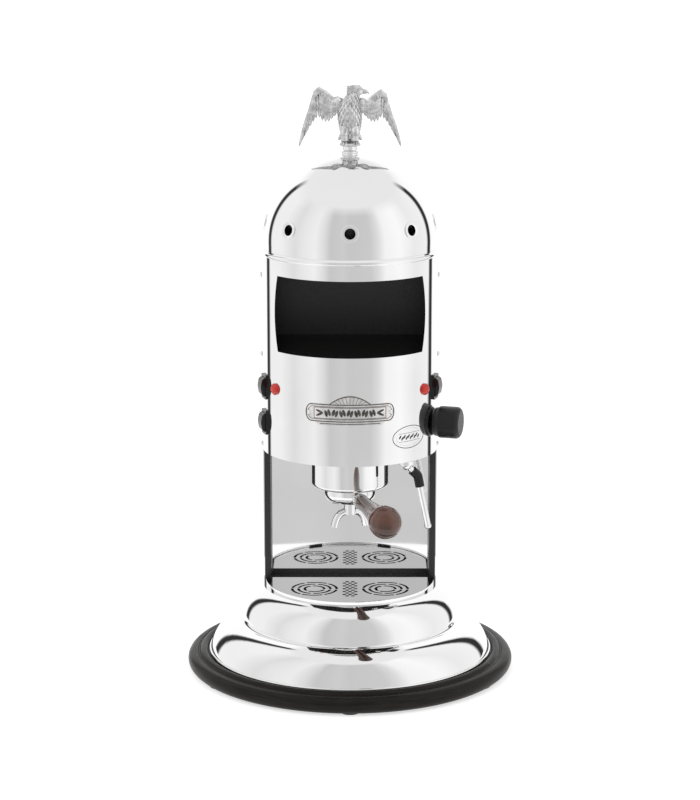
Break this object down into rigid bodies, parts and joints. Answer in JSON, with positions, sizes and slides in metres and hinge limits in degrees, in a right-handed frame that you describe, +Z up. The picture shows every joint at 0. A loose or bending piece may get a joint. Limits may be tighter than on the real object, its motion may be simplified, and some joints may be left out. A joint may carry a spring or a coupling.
{
  "type": "espresso machine",
  "caption": "Upright drum-shaped espresso machine with a domed top, a cup bay, a portafilter, a steam wand and a stepped round base.",
  "frame": {"origin": "on the machine's upright axis, at the surface its feet stand on", "axes": "+Z up, the front with the portafilter faces -Y, +X to the right as seen from the front"},
  "size_m": [0.37, 0.3699, 0.6612],
  "materials": {
    "polished_steel": "mirror-polished, chrome-plated sheet",
    "black_wood": "turned and lacquered black-brown",
    "brown_bakelite": "turned, glossy brown with darker streaks",
    "black_plastic": "satin black moulded",
    "black_gloss": "glossy black moulded",
    "red_lens": "translucent red moulded lens",
    "cast_chrome": "cast and chrome-plated, fine relief",
    "badge_silver": "engraved satin silver plate",
    "dark_paint": "satin black-brown enamel",
    "zinc_steel": "plain plated steel",
    "brass": "raw machined brass",
    "stainless": "satin stainless steel",
    "rubber": "moulded rubber",
    "tank_plastic": "dark moulded tank plastic"
  },
  "bodies": {
    "machine": {"rubber_feet": "rubber", "base_plinth": "black_wood", "base_plate": "zinc_steel", "base_posts": "zinc_steel", "base_cover": "polished_steel", "base_deck": "dark_paint", "left_upright": "dark_paint", "right_upright": "dark_paint", "splash_panel": "polished_steel", "splash_seal": "rubber", "rear_shell": "polished_steel", "front_shell": "polished_steel", "shell_screws": "polished_steel", "body_floor": "dark_paint", "cup_shelf": "dark_paint", "cup_bay_liner": "dark_paint", "tank_shelf": "dark_paint", "top_ring": "polished_steel", "water_tank": "tank_plastic", "tank_lid": "tank_plastic", "boiler": "brass", "boiler_flange": "brass", "boiler_bolts": "zinc_steel", "heating_element": "stainless", "pressurestat": "zinc_steel", "safety_valve": "brass", "group_body": "brass", "group_bell": "polished_steel", "group_gasket": "rubber", "shower_screen": "stainless", "steam_valve": "brass", "steam_pipe": "brass", "rocker_bezels": "black_gloss", "lamp_lenses": "red_lens", "badge_plate": "badge_silver", "badge_rivets": "polished_steel", "vibration_pump": "black_plastic", "solenoid_valve": "zinc_steel", "water_pipes": "tank_plastic", "mains_inlet": "black_plastic"},
    "drip_tray": {"drip_tray": "stainless"},
    "drip_grid": {"drip_grid": "polished_steel"},
    "dome": {"dome": "polished_steel", "porthole_eyelets": "polished_steel", "finial_stem": "polished_steel", "eagle_finial": "cast_chrome"},
    "portafilter": {"portafilter_body": "polished_steel", "filter_basket": "stainless", "portafilter_spout": "polished_steel", "handle_ferrule": "polished_steel", "portafilter_handle": "brown_bakelite"},
    "steam_knob": {"steam_spindle": "stainless", "steam_knob": "black_plastic"},
    "wand_swivel": {"wand_nut": "polished_steel"},
    "steam_wand": {"steam_wand": "polished_steel", "wand_grip": "black_plastic", "wand_tip": "polished_steel"},
    "power_rocker": {"power_rocker": "black_gloss"},
    "pump_rocker": {"pump_rocker": "black_gloss"},
    "boiler_rocker": {"boiler_rocker": "black_gloss"}
  },
  "joints": [
    {"name": "tray_lift", "type": "slide", "parent": "machine", "child": "drip_tray", "axis": [0, 0, 1], "range_m": [0, 0.04]},
    {"name": "grid_lift", "type": "slide", "parent": "drip_tray", "child": "drip_grid", "axis": [0, 0, 1], "range_m": [0, 0.02]},
    {"name": "dome_lift", "type": "slide", "parent": "machine", "child": "dome", "axis": [0, 0, 1], "range_m": [0, 0.12]},
    {"name": "portafilter_lock", "type": "hinge", "parent": "machine", "child": "portafilter", "pos_m": [0, -0.02, 0.22], "axis": [0, 0, 1], "range_deg": [-58, 0]},
    {"name": "steam_knob_turn", "type": "hinge", "parent": "machine", "child": "steam_knob", "pos_m": [0.10519, -0.03216, 0.2907], "axis": [0.9563, -0.2924, 0], "range_deg": [0, 360]},
    {"name": "wand_swivel", "type": "hinge", "parent": "machine", "child": "wand_swivel", "pos_m": [0.062, -0.059, 0.2483], "axis": [0, 0, 1], "range_deg": [-60, 60]},
    {"name": "wand_tilt", "type": "hinge", "parent": "wand_swivel", "child": "steam_wand", "pos_m": [0.062, -0.059, 0.2483], "axis": [0.2696, -0.963, 0], "range_deg": [-12, 8]},
    {"name": "power_switch", "type": "hinge", "parent": "machine", "child": "power_rocker", "pos_m": [-0.09467, -0.02894, 0.3307], "axis": [0.2924, -0.9563, 0], "range_deg": [-8, 8]},
    {"name": "pump_switch", "type": "hinge", "parent": "machine", "child": "pump_rocker", "pos_m": [-0.09467, -0.02894, 0.2907], "axis": [0.2924, -0.9563, 0], "range_deg": [-8, 8]},
    {"name": "boiler_switch", "type": "hinge", "parent": "machine", "child": "boiler_rocker", "pos_m": [0.09467, -0.02894, 0.3307], "axis": [0.2924, 0.9563, 0], "range_deg": [-8, 8]}
  ]
}
